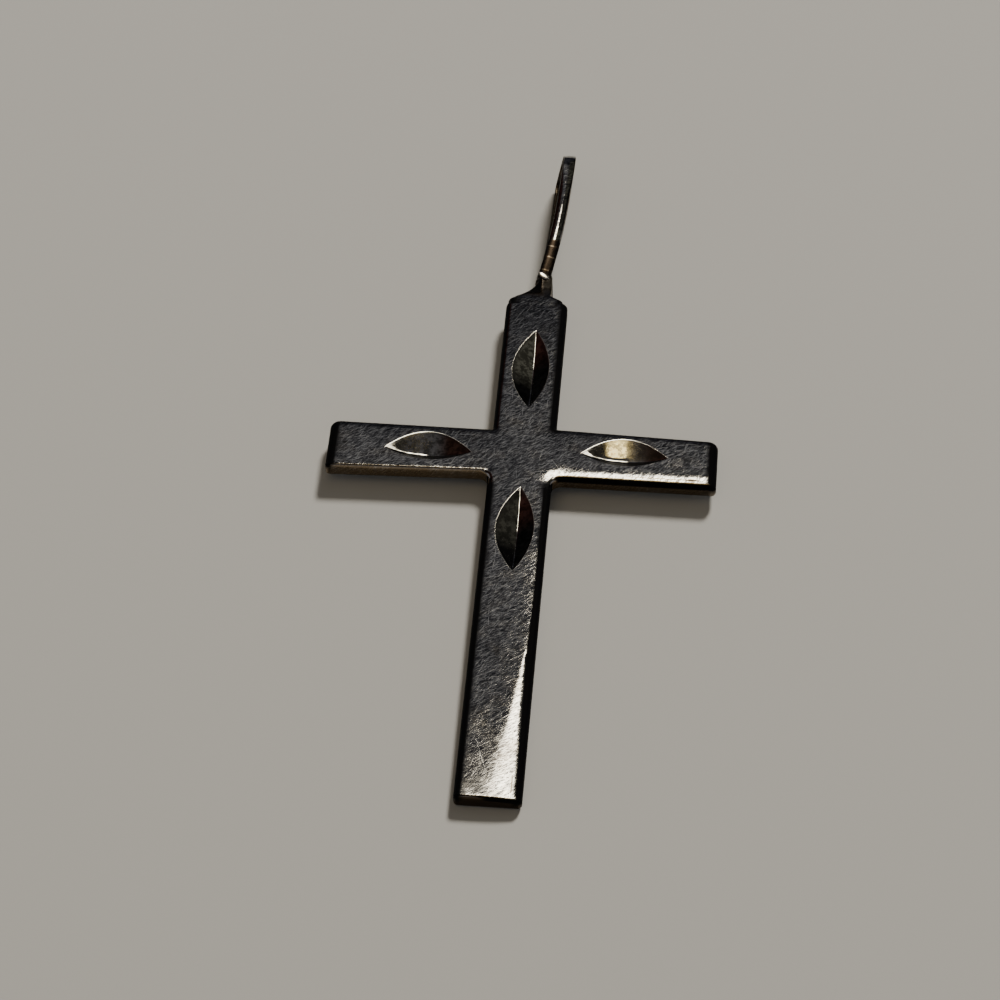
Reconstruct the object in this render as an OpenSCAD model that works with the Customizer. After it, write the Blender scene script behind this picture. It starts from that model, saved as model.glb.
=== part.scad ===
// Latin cross pendant of one piece of silver, lying face up.
// The upright runs along Y with the bail at +Y, the side arms run along X, and the face looks up.
// It rests on the lower edge of its foot and on the underside of its bail, so its upper end is raised.
// The origin is the centre of its bounding box, at the level of the surface that it lies on.

/* [Cross plate] */
// Distance between the ends of the two side arms
cross_w = 20; // [16:0.5:26]
// Length of the upper arm from the centre of the crossing
upper_arm = 11.1; // [10:0.1:14]
// Length of the lower arm from the centre of the crossing
lower_arm = 22.1; // [16:0.1:30]
// Width of the upright
upright_w = 3.27; // [2.8:0.05:4.2]
// Width of the side arms at their ends
side_arm_w = 3.24; // [2.8:0.05:4.2]
// How far the lower edge of the left arm rises on its way to the crossing
left_arm_rise = 0.25; // [0:0.05:0.4]
// How far the upper edge of the right arm rises on its way to the crossing
right_arm_rise = 0.24; // [0:0.05:0.4]
// Thickness of the plate
plate_t = 0.9; // [0.8:0.05:1.4]

/* [Corners and edges] */
// Corner radius of the upper arm's end and of the side arms' upper corners
upper_corner_r = 0.5; // [0.2:0.05:0.9]
// Corner radius of the side arms' lower corners and of the foot
lower_corner_r = 0.22; // [0.1:0.02:0.6]
// Radius of the two inner corners above the side arms
upper_crotch_r = 0.12; // [0.05:0.01:0.6]
// Radius of the two inner corners below the side arms
lower_crotch_r = 0.5; // [0.1:0.05:1]
// Height of the rounding between the face and the sides
face_round_h = 0.3; // [0.1:0.02:0.4]
// Reach of that rounding onto the face
face_round_w = 0.36; // [0.1:0.02:0.6]
// Reach of the more worn rounding on the lower edge of the right arm
worn_round_w = 0.5; // [0.1:0.02:0.7]
// Reach of the crisp rounding at the foot and on the lower edge of the left arm
crisp_round_w = 0.2; // [0.1:0.02:0.5]
// Radius of the rounding between the back and the sides
back_round_r = 0.24; // [0.1:0.02:0.35]

/* [Bright cuts] */
// Slope of the two sides of the cutting wheel's edge, in degrees
cut_slope = 26; // [20:1:40]
// Length of the cuts in the upright
upright_cut_l = 5.65; // [4:0.05:6.5]
// Depth of the cuts in the upright
upright_cut_d = 0.47; // [0.3:0.01:0.6]
// How far the valleys of the cuts in the upright lie to the right of its middle
upright_cut_shift = 0.13; // [0:0.01:0.3]
// Lean of the wheel in the upright's cuts, in degrees
upright_cut_lean = 3; // [0:1:10]
// Distance from the crossing's centre to the middle of the cut in the upper arm
upper_cut_at = 5.93; // [5:0.1:7]
// Distance from the crossing's centre to the middle of the cut in the lower arm
lower_cut_at = 5.2; // [4.5:0.1:9]
// Length of the cuts in the side arms
side_cut_l = 4.48; // [3.5:0.1:5]
// Depth of the cuts in the side arms
side_cut_d = 0.42; // [0.3:0.01:0.6]
// Distance from the crossing's centre to the middle of the cut in the left arm
left_cut_at = 4.82; // [4:0.1:6]
// Distance from the crossing's centre to the middle of the cut in the right arm
right_cut_at = 5.23; // [4:0.1:6]
// How far the valley of the left cut lies below the middle of its arm
left_cut_drop = 0.26; // [0:0.02:0.4]
// How far the valley of the right cut lies above the middle of its arm
right_cut_rise = 0.08; // [0:0.02:0.4]
// Lean of the wheel in the side arms' cuts, in degrees
side_cut_lean = 7; // [0:1:10]

/* [Neck] */
// Length of the neck that joins the bail to the upper arm
neck_l = 2; // [1.2:0.1:3]
// Width of the neck where it leaves the upper arm
neck_base_w = 1.9; // [1.2:0.05:2.4]
// Distance from the upright's middle to the neck's straight right side at its base
neck_right = 0.81; // [0.6:0.01:1]
// How far the neck's right side leans in over its length
neck_lean = 0.17; // [0:0.01:0.3]
// Height of the ridge on the neck's front and back above its shoulders
neck_ridge_h = 0.14; // [0.05:0.01:0.25]
// Place of the ridge across the neck's base, from its left side as a share of its width
neck_ridge_base = 0.84; // [0.3:0.02:0.9]
// Place of the ridge across the neck's end, from its left side as a share of its width
neck_ridge_end = 0.12; // [0.1:0.02:0.8]

/* [Bail] */
// Width of the bail's strip
strip_w = 0.66; // [0.5:0.02:1]
// Thickness of the bail's strip
strip_t = 0.42; // [0.3:0.02:0.55]
// Height of the dome on the outside of the strip
strip_dome_h = 0.12; // [0.04:0.01:0.2]
// Length of the bail from the neck's end to its far end
bail_l = 9.25; // [6:0.05:12]
// Depth of the bail across its far end
bail_d = 2.82; // [2:0.02:5]
// Turn of the bail toward the right, in degrees
bail_yaw = 4.6; // [0:0.2:8]
// Roll of the bail toward the right, in degrees
bail_roll = 10.5; // [0:0.5:15]

/* [Hidden] */
corner_steps = 4;
front_steps = 5;
back_steps = 3;
neck_steps = 8;
leg_steps = 14;
bend_steps = 16;
dome_steps = 6;
wheel_facets = 90;
// The least radius that an inset corner keeps
least_r = 0.04;
// How far pieces of the one solid run into each other
sink = 0.25;
// How far the neck's end stands out past the strip on each side
neck_rim = 0.02;
// How far the neck's ridge lies under the face and over the back
neck_step = 0.06;
// How far the bail's legs start to the left of the neck's middle, where the roll turns them
leg_shift = 0.19;
// Half the gap between the two legs where the neck holds them
leg_gap = 0.03;
// Where the start of a leg's curve aims, from the leg's start: along the bail and outward
leg_lead = [1.3, 0.52];
// Share of the leg over which its curve's end aims, and how far it has still to rise there
leg_trail = 0.57;
leg_droop = 0.06;
mid_z = plate_t / 2;
half_w = upright_w / 2;
half_side = side_arm_w / 2;
end_x = cross_w / 2;
strip_mid_r = bail_d / 2 - strip_t / 2;
bend_at = bail_l - bail_d / 2;
neck_tip_x = neck_right - neck_lean - strip_w / 2;
bail_start = upper_arm + neck_l - sink;

// How far the rolled and turned strip reaches past its middle line's crown
roll_bulge = pow(strip_w / 2 * sin(bail_roll), 2) / (4 * strip_dome_h * cos(bail_roll));
yaw_bulge = pow(strip_w / 2 * sin(bail_yaw), 2) / (4 * strip_dome_h * cos(bail_yaw));

// Resting pose: the lowest points of the foot and of the bail are level
rest_arm = bail_start + bend_at * cos(bail_yaw) + lower_arm - back_round_r;
rest_rise = mid_z - back_round_r;
rest_need = bail_d / 2 * cos(bail_roll) + roll_bulge - back_round_r;
rest_tilt = asin(rest_need / norm([rest_arm, rest_rise])) - atan2(rest_rise, rest_arm);
foot_z = back_round_r * (1 - cos(rest_tilt)) + (lower_arm - back_round_r) * sin(rest_tilt);

// Middle of the bounding box along Y, in the resting pose
far_y = (bail_start + bail_l * cos(bail_yaw) + yaw_bulge) * cos(rest_tilt) - mid_z * sin(rest_tilt);
near_y = -lower_arm * cos(rest_tilt) - (plate_t - face_round_h) * sin(rest_tilt);
middle_y = (far_y + near_y) / 2;

// Outline: corner, radius there, and reach of the face's rounding on the side that starts there
OUTLINE = [
    [[half_w, -lower_arm], lower_corner_r, face_round_w],
    [[half_w, -half_side], lower_crotch_r, worn_round_w],
    [[end_x, -half_side], lower_corner_r, face_round_w],
    [[end_x, half_side], upper_corner_r, face_round_w],
    [[half_w, half_side + right_arm_rise], upper_crotch_r, face_round_w],
    [[half_w, upper_arm], upper_corner_r, face_round_w],
    [[-half_w, upper_arm], upper_corner_r, face_round_w],
    [[-half_w, half_side], upper_crotch_r, face_round_w],
    [[-end_x, half_side], upper_corner_r, face_round_w],
    [[-end_x, -half_side], lower_corner_r, crisp_round_w],
    [[-half_w, -half_side + left_arm_rise], lower_crotch_r, face_round_w],
    [[-half_w, -lower_arm], lower_corner_r, crisp_round_w]
];
CORNERS = len(OUTLINE);

function corner(i) = OUTLINE[(i + CORNERS) % CORNERS][0];
function radius(i) = OUTLINE[i][1];
function reach(i) = OUTLINE[(i + CORNERS) % CORNERS][2];
function unit(v) = v / norm(v);
function cross_z(a, b) = a[0] * b[1] - a[1] * b[0];
function side(i) = unit(corner(i + 1) - corner(i));
function inward(i) = [-side(i)[1], side(i)[0]];

// Point where side i-1, moved in by a, meets side i, moved in by b
function meet(i, a, b) =
    let (n1 = inward(i - 1), n2 = inward(i), det = cross_z(n1, n2))
    corner(i) + [a * n2[1] - b * n1[1], b * n1[0] - a * n2[0]] / det;

// The arc at corner i of the outline, moved in by a share of each side's reach
function corner_arc(i, share, round_w) =
    let (
        a = share * (round_w > 0 ? round_w : reach(i - 1)),
        b = share * (round_w > 0 ? round_w : reach(i)),
        turn = cross_z(side(i - 1), side(i)) > 0 ? 1 : -1,
        r = turn > 0 ? max(radius(i) - (a + b) / 2, least_r) : radius(i) + (a + b) / 2,
        centre = meet(i, a + turn * r, b + turn * r),
        from = -turn * inward(i - 1),
        to = -turn * inward(i),
        sweep = acos(from * to)
    )
    [for (k = [0:corner_steps])
        let (t = k / corner_steps)
        centre + r * (sin((1 - t) * sweep) * from + sin(t * sweep) * to) / sin(sweep)];

// One level of the plate: the outline moved in by a share of the rounding, at height z
function plate_ring(share, z, round_w = 0) =
    [for (i = [0:CORNERS - 1]) each [for (p = corner_arc(i, share, round_w)) [p[0], p[1], z]]];

// A closed solid through a row of rings that have the same number of points. Its ends are flat, and
// cap splits them into convex faces.
module skin(rings, cap) {
    n = len(rings[0]);
    m = len(rings);
    polyhedron(
        points = [for (r = rings) each r],
        faces = concat(
            cap,
            [for (j = [0:m - 2]) for (i = [0:n - 1])
                let (a = j * n + i, b = j * n + (i + 1) % n)
                each [[a, a + n, b + n], [a, b + n, b]]],
            [for (face = cap) [for (i = [len(face) - 1:-1:0]) face[i] + (m - 1) * n]]
        )
    );
}

// The cap of a convex ring of n points
function whole_cap(n) = [[for (i = [0:n - 1]) i]];

// The cap of the plate: a strip of faces along each arm, and a square at the crossing
CROTCHES = [1, 4, 7, 10];
function plate_cap() =
    let (
        per = corner_steps + 1,
        n = CORNERS * per,
        mids = [for (c = CROTCHES) c * per + corner_steps / 2]
    )
    concat(
        [[mids[0], mids[1], mids[2]], [mids[0], mids[2], mids[3]]],
        [for (mid = mids) for (k = [0:(3 * per - 3) / 2])
            let (a = mid + k, b = mid + 3 * per - k)
            each [[a % n, (a + 1) % n, (b - 1) % n], [a % n, (b - 1) % n, b % n]]]
    );

// The cross plate, its underside at z = 0 and the centre of its crossing at x = y = 0
module plate() {
    back = [for (k = [0:back_steps])
        let (a = 90 * k / back_steps)
        plate_ring(1 - sin(a), back_round_r * (1 - cos(a)), back_round_r)];
    front = [for (k = [0:front_steps])
        let (a = 90 * k / front_steps)
        plate_ring(1 - cos(a), plate_t - face_round_h * (1 - sin(a)))];
    skin(concat(back, front), plate_cap());
}

// The bite of a wheel with a V edge, long along X, its valley's middle at the origin of x and y
module bright_cut(long, deep, lean) {
    wheel_r = (long * long / 4 + deep * deep) / (2 * deep);
    edge_h = 2 * deep;
    edge_w = edge_h / tan(cut_slope);
    translate([0, 0, plate_t - deep])
        rotate([-lean, 0, 0])
        translate([0, 0, wheel_r])
        rotate([90, 0, 0])
        rotate_extrude($fn = wheel_facets)
        polygon([
            [0, -edge_w],
            [wheel_r - edge_h, -edge_w],
            [wheel_r, 0],
            [wheel_r - edge_h, edge_w],
            [0, edge_w]
        ]);
}

module bright_cuts() {
    for (y = [upper_cut_at, -lower_cut_at])
        translate([upright_cut_shift, y, 0])
            rotate([0, 0, 90])
            bright_cut(upright_cut_l, upright_cut_d, upright_cut_lean);
    for (place = [[-left_cut_at, -left_cut_drop], [right_cut_at, right_cut_rise]])
        translate(place) bright_cut(side_cut_l, side_cut_d, side_cut_lean);
}

// The neck: a flare with a straight right side and a hollow left side, ridged front and back
module neck() {
    skin([for (k = [-1:neck_steps])
        let (
            s = max(k, 0) / neck_steps,
            y = k < 0 ? -sink - upper_corner_r : s * neck_l,
            w = strip_w + 2 * neck_rim + (neck_base_w - strip_w) * (1 - s) * (1 - s),
            right = neck_right - neck_lean * s + neck_rim,
            left = right - w,
            ridge = left + w * (neck_ridge_end + (neck_ridge_base - neck_ridge_end) * (1 - s)),
            half = mid_z - neck_step,
            low = half - neck_ridge_h
        )
        [for (p = [[left, low], [ridge, half], [right, low], [right, -low], [ridge, -half], [left, -low]])
            [p[0], upper_arm + y, mid_z + p[1]]]], whole_cap(6));
}

// Line of the strip's middle, from the neck along the front leg, round the far end and back
function leg_line(t) =
    let (
        start = [0, strip_t / 2 + leg_gap],
        rise = start + leg_lead,
        run = [bend_at * (1 - leg_trail), strip_mid_r - leg_droop],
        end = [bend_at, strip_mid_r],
        u = 1 - t
    )
    u * u * u * start + 3 * u * u * t * rise + 3 * u * t * t * run + t * t * t * end;
function bail_line() = concat(
    [for (k = [0:leg_steps]) leg_line(k / leg_steps)],
    [for (k = [1:bend_steps - 1])
        let (a = 90 - 180 * k / bend_steps)
        [bend_at + strip_mid_r * cos(a), strip_mid_r * sin(a)]],
    [for (k = [leg_steps:-1:0]) let (p = leg_line(k / leg_steps)) [p[0], -p[1]]]
);

// Section of the strip: [across, outward], flat inside and domed outside
strip_section = concat(
    [[strip_w / 2, -strip_t / 2], [-strip_w / 2, -strip_t / 2]],
    [for (k = [0:dome_steps])
        let (x = -cos(180 * k / dome_steps))
        [x * strip_w / 2, strip_t / 2 - strip_dome_h * x * x]]
);

// The bail, its legs starting at the origin and its loop standing in the YZ plane
module bail() {
    line = bail_line();
    last = len(line) - 1;
    skin([for (k = [0:last])
        let (
            along = unit(line[min(k + 1, last)] - line[max(k - 1, 0)]),
            out = [-along[1], along[0]]
        )
        [for (p = strip_section) [p[0], line[k][0] + p[1] * out[0], line[k][1] + p[1] * out[1]]]],
        whole_cap(len(strip_section)));
}

module cross_with_bail() {
    color("silver")
        translate([0, -middle_y, foot_z])
        rotate([rest_tilt, 0, 0])
        union() {
            difference() {
                plate();
                bright_cuts();
            }
            neck();
            translate([neck_tip_x - leg_shift, bail_start, mid_z])
                rotate([0, 0, -bail_yaw])
                rotate([0, bail_roll, 0])
                bail();
        }
}

cross_with_bail();
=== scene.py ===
import math

import bpy
from bpy.props import FloatProperty, FloatVectorProperty, IntProperty, PointerProperty
from mathutils import Matrix, Vector, noise
from mathutils.geometry import delaunay_2d_cdt


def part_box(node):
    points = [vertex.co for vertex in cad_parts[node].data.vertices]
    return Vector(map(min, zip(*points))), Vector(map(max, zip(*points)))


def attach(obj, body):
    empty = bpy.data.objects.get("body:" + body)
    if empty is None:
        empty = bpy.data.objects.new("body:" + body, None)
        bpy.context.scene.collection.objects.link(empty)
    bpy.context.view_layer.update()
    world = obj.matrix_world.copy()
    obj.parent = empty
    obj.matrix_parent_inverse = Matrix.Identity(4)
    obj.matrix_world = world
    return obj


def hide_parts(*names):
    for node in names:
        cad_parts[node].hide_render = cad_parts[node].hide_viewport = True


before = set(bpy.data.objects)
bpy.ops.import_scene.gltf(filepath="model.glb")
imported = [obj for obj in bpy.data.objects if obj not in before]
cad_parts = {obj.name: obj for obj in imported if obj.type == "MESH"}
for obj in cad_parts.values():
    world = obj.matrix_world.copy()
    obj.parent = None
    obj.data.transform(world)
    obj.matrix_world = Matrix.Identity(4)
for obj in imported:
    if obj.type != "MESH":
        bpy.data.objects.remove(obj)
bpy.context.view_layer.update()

bl_info = {
    "name": "Silver Cross Pendant",
    "version": (1, 0, 0),
    "blender": (4, 5, 0),
    "location": "3D View > Sidebar > Pendant",
    "description": "Builds a silver cross pendant with bright cuts, and a small studio round it",
    "category": "Add Mesh",
}

MM = 0.001
NODE = "cross_with_bail"
BODY = "root"
NODE_LOW, NODE_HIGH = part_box(NODE)

BAIL_SINK = 0.25 * MM  # how deep inside the neck the bail starts
FOOT_SHOULDER = 0.3 * MM  # how far below the face the foot stands out furthest
LEAST_RADIUS = 0.04 * MM  # what is left of a corner's rounding when its sides move in

# Sides of the outline in the order of their first corners, from the foot's right corner upward.
(
    LOWER_RIGHT,
    RIGHT_UNDER,
    RIGHT_END,
    RIGHT_TOP,
    UPPER_RIGHT,
    UPPER_END,
    UPPER_LEFT,
    LEFT_TOP,
    LEFT_END,
    LEFT_UNDER,
    LOWER_LEFT,
    FOOT,
) = range(12)


def length(name, about, millimetres):
    """A size that a user can change, shown in the scene's units."""
    return FloatProperty(
        name=name, description=about, default=millimetres * MM, min=0, unit="LENGTH", precision=5
    )


def angle(name, about, degrees):
    """An angle that a user can change."""
    return FloatProperty(
        name=name, description=about, default=math.radians(degrees), subtype="ANGLE"
    )


def colour(name, about, rgb):
    """A colour that a user can change."""
    return FloatVectorProperty(
        name=name, description=about, default=rgb, size=3, min=0, max=1, subtype="COLOR"
    )


def share(name, about, value):
    """A plain number that a user can change."""
    return FloatProperty(name=name, description=about, default=value, min=0)


def edge(name, about, round_w, round_h, slope_w, slope_h):
    """The worn profile of one kind of edge."""
    return FloatVectorProperty(
        name=name,
        description=about + ": reach and height of its rounding, reach and height of its slope",
        default=(round_w * MM, round_h * MM, slope_w * MM, slope_h * MM),
        size=4,
        min=0,
        unit="LENGTH",
        precision=5,
    )


class PlateSizes(bpy.types.PropertyGroup):
    """Sizes of the cross plate."""

    width: FloatProperty(
        name="Width",
        description="Distance between the ends of the side arms",
        default=NODE_HIGH.x - NODE_LOW.x,
        min=0,
        unit="LENGTH",
        precision=5,
    )
    upper_arm: length("Upper arm", "From the crossing's centre to the upper end", 11.1)
    lower_arm: length("Lower arm", "From the crossing's centre to the foot", 22.1)
    upright_w: length("Upright width", "Width of the upright", 3.27)
    side_arm_w: length("Side arm width", "Width of the side arms at their ends", 3.24)
    left_rise: length("Left arm's rise", "Rise of the left arm's lower edge", 0.25)
    right_rise: length("Right arm's rise", "Rise of the right arm's upper edge", 0.24)
    thickness: length("Thickness", "Thickness of the plate", 0.9)
    upper_corner: length("Upper corners", "Radius of the upper corners", 0.5)
    lower_corner: length("Lower corners", "Radius of the lower corners", 0.22)
    upper_crotch: length("Upper inner corners", "Radius above the side arms", 0.12)
    lower_crotch: length("Lower inner corners", "Radius below the side arms", 0.5)
    back_round: length("Back rounding", "Radius between back and sides", 0.24)
    crown: length("Crown", "How far the face falls toward its edges", 0.008)
    crown_w: length("Crown width", "Reach of that fall", 0.7)
    streak_slope: share("Streak slope", "Slope at the bright streak's right side", 0.125)
    streak_foot_w: length("Streak at the foot", "Width of the rubbed streak at the foot", 1.72)
    streak_l: length("Streak length", "How far up the lower arm it reaches", 9.3)
    border_w: length("Dark border", "Width of the border beside the streak", 0.5)
    border_slope: share("Border slope", "How much steeper that border is", 0.1)
    # Painted shade: the edges' painted black fades into the face over these widths.
    border_fade: length("Border fade", "Width over which that border's black ends", 0.07)
    shade_w: length("Blackened width", "Width over which the edges' black fades into the face", 0.2)
    inner_arc: length("Inner arc", "Radius on which the worn edge turns at the inner corner", 0.65)
    inner_fade: length(
        "Inner fade", "Length over which the worn edge turns into the rubbed one", 0.8
    )
    waves: length("Waves", "Height of the polisher's waves in the face", 0.0016)
    side_edge: edge("Side edge", "Left edges of the upright", 0.3, 0.3, 0.4, 0.02)
    right_edge: edge("Right edge", "Right edge of the upper arm", 0.3, 0.24, 0.7, 0.014)
    rubbed_edge: edge("Rubbed edge", "Right edge of the lower arm", 0.24, 0.2, 0, 0)
    top_edge: edge("Top edge", "Upper edges of the arms", 0.34, 0.28, 0.42, 0.03)
    end_edge: edge("End edge", "Ends of the side arms", 0.42, 0.32, 0.5, 0.004)
    worn_edge: edge("Worn edge", "Lower edge of the right arm", 0.26, 0.2, 0.72, 0.08)
    crisp_edge: edge("Crisp edge", "Lower edge of the left arm", 0.12, 0.15, 0.3, 0.015)
    foot_edge: edge("Foot edge", "Lower edge of the foot", 0.14, 0.2, 0.2, 0.004)


class CutSizes(bpy.types.PropertyGroup):
    """Sizes of the four bright cuts."""

    slope: angle("Slope", "Slope of the wheel's V edge", 26)
    upright_l: length("Upright length", "Length of the cuts in the upright", 5.65)
    upright_d: length("Upright depth", "Depth of the cuts in the upright", 0.47)
    upright_shift: length("Upright shift", "How far their valleys lie to the right", 0.13)
    upright_lean: angle("Upright lean", "Lean of the wheel in the upright", 3)
    upper_at: length("Upper place", "From the crossing to the upper cut", 5.93)
    lower_at: length("Lower place", "From the crossing to the lower cut", 5.2)
    side_l: length("Side length", "Length of the cuts in the side arms", 4.48)
    side_d: length("Side depth", "Depth of the cuts in the side arms", 0.42)
    left_at: length("Left place", "From the crossing to the left cut", 4.82)
    right_at: length("Right place", "From the crossing to the right cut", 5.23)
    left_drop: length("Left drop", "How far the left valley lies below the middle", 0.26)
    right_rise: length("Right rise", "How far the right valley lies above the middle", 0.08)
    left_lean: angle("Left lean", "Lean of the wheel in the left arm", 8.3)
    right_lean: angle("Right lean", "Lean of the wheel in the right arm", 7)
    rim_round: length("Rim rounding", "Height over which a rim is polished round", 0.006)
    valley_round: length("Valley rounding", "Radius left by the wheel's edge", 0.022)


class BailSizes(bpy.types.PropertyGroup):
    """Sizes of the neck and of the bail."""

    neck_l: length("Neck length", "Length of the neck", 2)
    neck_base_w: length("Neck base", "Width of the neck at the upper arm", 2.35)
    neck_fillet: length("Neck fillet", "Reach of the solder at the neck's right side", 0.55)
    neck_right: length("Neck right side", "From the upright's middle to the right side", 0.81)
    neck_lean: length("Neck lean", "How far the right side leans in", 0.17)
    neck_ridge_h: length("Neck ridge", "Height of the ridge above its shoulders", 0.14)
    strip_w: length("Strip width", "Width of the bail's strip", 0.66)
    strip_t: length("Strip thickness", "Thickness of the bail's strip", 0.42)
    dome_h: length("Dome height", "Height of the dome on the strip", 0.12)
    bow: length("Bow", "How far the strip bows to the right", 0.18)
    reach: length("Far reach", "How far the far end is beaten out", 0.1)
    skew: length("Skew", "How much further the far end's right edge reaches", 0.19)
    # Painted shade: the strip's start is darkened over this length.
    shaded_start_l: length("Darkened length", "How far the solder's heat has darkened the strip", 2.28)
    strip_edge: length("Strip edge", "Radius of the strip's edges", 0.05)
    bail_l: length("Bail length", "From the neck's end to the far end", 9.25)
    bail_d: length("Bail depth", "Depth of the bail across its far end", 2.82)
    yaw: angle("Turn", "Turn of the bail toward the right", 4.6)
    roll: angle("Roll", "Roll of the bail toward the right", 10.5)


class SilverFinish(bpy.types.PropertyGroup):
    """Colours and wear of the silver."""

    metal: colour("Silver", "Colour of clean silver", (0.86, 0.84, 0.80))
    # Painted shade: this near-black, bluish tone between the scratches stands in for the dark room
    # that the face mirrors.
    dull_shade: colour("Dulled silver", "Colour between the brushing's hairs", (0.036, 0.036, 0.043))
    # Real tarnish on the face, and also painted shade: the brown on the walls and where the
    # darkening is partial.
    tarnish_and_shade: colour("Tarnish", "Colour of tarnished silver", (0.22, 0.165, 0.105))
    film: colour("Film", "Colour of the film in the cuts", (0.10, 0.095, 0.08))
    # Painted shade: dark brown where the darkening is strong, on walls, lower facets and edges, the
    # neck and the bail, and on two fine lines.
    shade_tone: colour("Burnt silver", "Colour that the solder's heat has left", (0.03, 0.022, 0.016))
    # Painted shade: near-black along the edges and wherever the painted shade is full.
    black: colour("Blackened silver", "Colour of silver along the edges", (0.002, 0.002, 0.0025))
    tarnish_share: share("Tarnish share", "How much tarnish lies on the face", 0.25)
    haze: share("Haze", "Roughness between the scratches", 0.045)
    brushing: share("Brushing", "Roughness that the fine brushing adds", 0.03)
    scratch_rough: share("Scratch roughness", "Roughness that a scratch adds", 0.055)
    scratch_depth: length("Scratch depth", "Depth of the deepest scratches", 0.0005)
    seed: IntProperty(name="Seed", description="Other scratches of the same kind", default=3)


class StudioSetup(bpy.types.PropertyGroup):
    """Floor, lights and camera."""

    floor: colour("Floor", "Colour of the floor", (0.41, 0.41, 0.40))
    key_colour: colour("Key colour", "Colour of the large light", (1.0, 0.92, 0.74))
    key_light: share("Key light", "Power of the large light, in watts", 5.5)
    side_light: share("Side light", "Power of the slim light at the right, in watts", 1.3)
    lamp_light: share("Lamp", "Power of the low lamp that lights the floor, in watts", 20)
    lamp_colour: colour("Lamp colour", "Colour of the low lamp", (1.0, 0.94, 0.84))
    fill_light: share("Fill light", "Power of the soft light that fills the shadows, in watts", 2.0)
    fill_colour: colour("Fill colour", "Colour of the filling light", (1.0, 0.82, 0.54))
    top_colour: colour("Top colour", "Colour of the small light overhead", (1.0, 0.78, 0.34))
    top_light: share("Top light", "Power of the small light, in watts", 0.6)
    room: colour("Room", "Colour of the dark room behind the pendant", (0.150, 0.150, 0.157))
    far_room: colour("Far room", "Colour of the same room lower down", (0.032, 0.033, 0.040))
    near_room: colour("Near room", "Colour of the room on the camera's side", (0.014, 0.010, 0.007))
    right_room: colour("Right room", "Colour of the room's right side", (0.062, 0.060, 0.048))
    left_room: colour("Left room", "Colour of the room's left side", (0.028, 0.011, 0.009))
    low_room: colour("Low room", "Colour of the room near the floor", (0.004, 0.004, 0.004))
    back_room: colour("Back room", "Colour behind the camera and at the sides", (0.30, 0.30, 0.31))
    camera_at: FloatVectorProperty(
        name="Camera",
        description="Place of the camera",
        default=(8.286 * MM, -122.648 * MM, 129.729 * MM),
        size=3,
        unit="LENGTH",
        precision=5,
    )
    camera_turn: angle("Camera turn", "Azimuth of the camera", 4.39)
    camera_down: angle("Camera height", "Elevation of the camera", 47.03)
    camera_roll: angle("Camera roll", "Roll of the camera", 0.146)
    lens: FloatProperty(
        name="Lens", description="Focal length on a 36 mm sensor", default=124.96, unit="CAMERA"
    )


def smooth_min(a, b, blend):
    """The lower of two heights, rounded where they meet."""
    h = max(0.0, min(1.0, 0.5 + 0.5 * (b - a) / blend))
    return b + (a - b) * h - blend * h * (1 - h)


def smooth_step(value, low, high):
    """0 below low, 1 above high, and smooth between."""
    t = max(0.0, min(1.0, (value - low) / (high - low)))
    return t * t * (3 - 2 * t)


def cross(a, b):
    """Z of the cross product of two plan vectors."""
    return a.x * b.y - a.y * b.x


def near_segment(p, a, b):
    """Distance in plan from a point to a segment."""
    along = b - a
    t = max(0.0, min(1.0, (p - a).dot(along) / along.length_squared))
    return (p - a - t * along).length


class Pose:
    """Carries points of the flat-lying plate into the frame, where the pendant rests tilted."""

    def __init__(self, plate, bail):
        low_arm = plate.back_round
        mid = plate.thickness / 2
        bend_at = bail.bail_l - bail.bail_d / 2
        start = plate.upper_arm + bail.neck_l - BAIL_SINK
        self.bail_start = start

        def bulge(a):
            return (bail.strip_w / 2 * math.sin(a)) ** 2 / (4 * bail.dome_h * math.cos(a))

        arm = start + bend_at * math.cos(bail.yaw) + plate.lower_arm - low_arm
        rise = mid - low_arm
        need = bail.bail_d / 2 * math.cos(bail.roll) + bulge(bail.roll) - low_arm
        tilt = math.asin(need / math.hypot(arm, rise)) - math.atan2(rise, arm)
        foot_z = low_arm * (1 - math.cos(tilt)) + (plate.lower_arm - low_arm) * math.sin(tilt)
        far = start + bail.bail_l * math.cos(bail.yaw) + bulge(bail.yaw)
        far_y = far * math.cos(tilt) - mid * math.sin(tilt)
        shoulder = plate.thickness - FOOT_SHOULDER
        near_y = -plate.lower_arm * math.cos(tilt) - shoulder * math.sin(tilt)
        lift = Matrix.Translation((0, -(far_y + near_y) / 2, foot_z))
        self.matrix = lift @ Matrix.Rotation(tilt, 4, "X")

    def points(self, points):
        return [self.matrix @ Vector(p) for p in points]


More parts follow.
